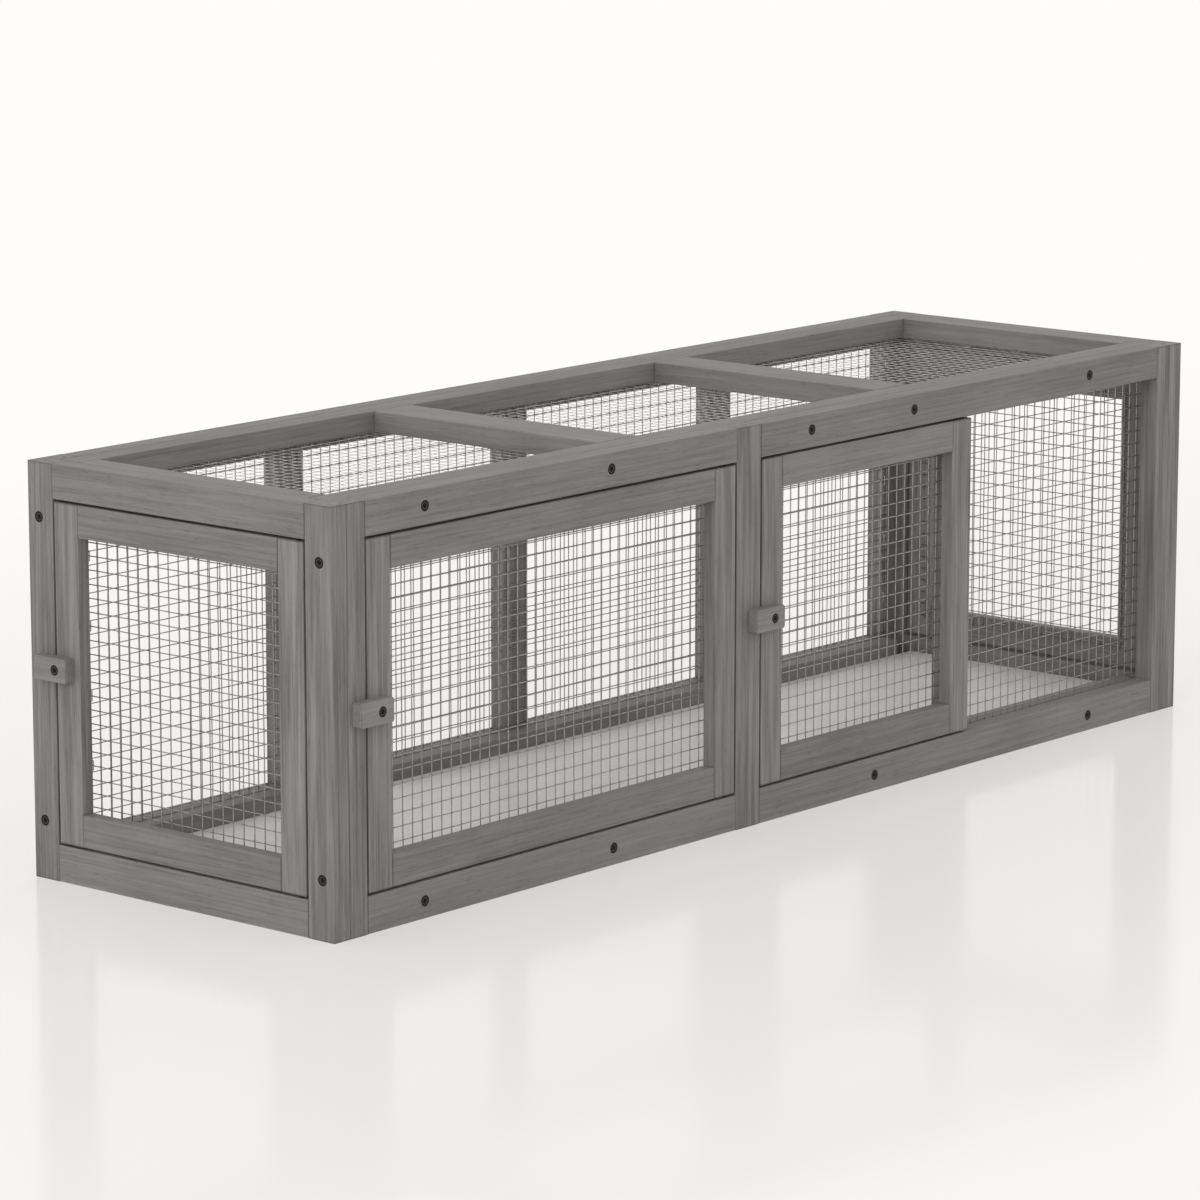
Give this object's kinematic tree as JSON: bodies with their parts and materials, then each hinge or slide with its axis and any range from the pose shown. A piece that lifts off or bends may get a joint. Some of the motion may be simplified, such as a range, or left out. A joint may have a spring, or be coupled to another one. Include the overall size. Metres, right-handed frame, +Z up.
{
  "type": "catio",
  "caption": "Long low grey-stained timber cat run with mesh sides and roof, hinged doors, wooden turn buttons and a pale floor board.",
  "frame": {"origin": "centre of the bounding box at floor level, turn buttons included", "axes": "+Z up, the front with its two doors faces -Y, the run is longest along X"},
  "size_m": [1.2198, 0.3598, 0.36],
  "materials": {
    "grey_stained_wood": "satin grey stain over softwood, grain showing",
    "galvanised_wire": "dull galvanised welded wire",
    "bright_steel": "plain zinc-plated steel",
    "black_screw": "black phosphated steel",
    "bare_dowel": "bare hardwood",
    "pale_board": "hardboard with a pale, matt facing"
  },
  "bodies": {
    "frame": {"left_end_front_stile": "grey_stained_wood", "left_end_back_stile": "grey_stained_wood", "left_end_top_rail": "grey_stained_wood", "left_end_bottom_rail": "grey_stained_wood", "right_end_front_stile": "grey_stained_wood", "right_end_back_stile": "grey_stained_wood", "right_end_top_rail": "grey_stained_wood", "right_end_bottom_rail": "grey_stained_wood", "front_corner_stiles": "grey_stained_wood", "front_center_post": "grey_stained_wood", "front_left_top_rail": "grey_stained_wood", "front_right_top_rail": "grey_stained_wood", "front_left_bottom_rail": "grey_stained_wood", "front_right_bottom_rail": "grey_stained_wood", "front_fixed_mesh": "galvanised_wire", "front_mullion": "grey_stained_wood", "back_corner_stiles": "grey_stained_wood", "back_top_rail": "grey_stained_wood", "back_bottom_rail": "grey_stained_wood", "back_mullions": "grey_stained_wood", "back_mesh": "galvanised_wire", "base_battens": "grey_stained_wood", "roof_front_board": "grey_stained_wood", "roof_back_board": "grey_stained_wood", "roof_end_boards": "grey_stained_wood", "roof_crossbars": "grey_stained_wood", "floor_board": "pale_board", "roof_mesh": "galvanised_wire", "frame_staples": "bright_steel", "frame_screws": "black_screw", "frame_dowels": "bare_dowel", "hinge_pins": "bright_steel"},
    "left_end_door": {"left_end_door_hinge_stile": "grey_stained_wood", "left_end_door_latch_stile": "grey_stained_wood", "left_end_door_top_rail": "grey_stained_wood", "left_end_door_bottom_rail": "grey_stained_wood", "left_end_door_mesh": "galvanised_wire", "left_end_door_fasteners": "bright_steel"},
    "left_end_door_button": {"left_end_door_turn_button": "grey_stained_wood"},
    "right_end_door": {"right_end_door_hinge_stile": "grey_stained_wood", "right_end_door_latch_stile": "grey_stained_wood", "right_end_door_top_rail": "grey_stained_wood", "right_end_door_bottom_rail": "grey_stained_wood", "right_end_door_mesh": "galvanised_wire", "right_end_door_fasteners": "bright_steel"},
    "right_end_door_button": {"right_end_door_turn_button": "grey_stained_wood"},
    "front_left_door": {"front_left_door_hinge_stile": "grey_stained_wood", "front_left_door_latch_stile": "grey_stained_wood", "front_left_door_top_rail": "grey_stained_wood", "front_left_door_bottom_rail": "grey_stained_wood", "front_left_door_mesh": "galvanised_wire", "front_left_door_fasteners": "bright_steel"},
    "front_left_door_button": {"front_left_door_turn_button": "grey_stained_wood"},
    "front_right_door": {"front_right_door_hinge_stile": "grey_stained_wood", "front_right_door_latch_stile": "grey_stained_wood", "front_right_door_top_rail": "grey_stained_wood", "front_right_door_bottom_rail": "grey_stained_wood", "front_right_door_mesh": "galvanised_wire", "front_right_door_fasteners": "bright_steel"},
    "front_right_door_button": {"front_right_door_turn_button": "grey_stained_wood"}
  },
  "joints": [
    {"name": "left_end_door_swing", "type": "hinge", "parent": "frame", "child": "left_end_door", "pos_m": [-0.5955, -0.12985, 0.18], "axis": [0, 0, 1], "range_deg": [0, 120]},
    {"name": "left_end_door_button_turn", "type": "hinge", "parent": "left_end_door", "child": "left_end_door_button", "pos_m": [-0.605, 0.14175, 0.186], "axis": [-1, 0, 0], "continuous": true},
    {"name": "right_end_door_swing", "type": "hinge", "parent": "frame", "child": "right_end_door", "pos_m": [0.5955, -0.12985, 0.18], "axis": [0, 0, -1], "range_deg": [0, 120]},
    {"name": "right_end_door_button_turn", "type": "hinge", "parent": "right_end_door", "child": "right_end_door_button", "pos_m": [0.605, 0.14175, 0.186], "axis": [1, 0, 0], "continuous": true},
    {"name": "front_left_door_swing", "type": "hinge", "parent": "frame", "child": "front_left_door", "pos_m": [-0.0947, -0.16555, 0.18], "axis": [0, 0, 1], "range_deg": [0, 120]},
    {"name": "front_left_door_button_turn", "type": "hinge", "parent": "front_left_door", "child": "front_left_door_button", "pos_m": [-0.5508, -0.17505, 0.186], "axis": [0, -1, 0], "continuous": true},
    {"name": "front_right_door_swing", "type": "hinge", "parent": "frame", "child": "front_right_door", "pos_m": [0.2507, -0.16555, 0.18], "axis": [0, 0, 1], "range_deg": [0, 120]},
    {"name": "front_right_door_button_turn", "type": "hinge", "parent": "front_right_door", "child": "front_right_door_button", "pos_m": [-0.0413, -0.17505, 0.186], "axis": [0, -1, 0], "continuous": true}
  ]
}
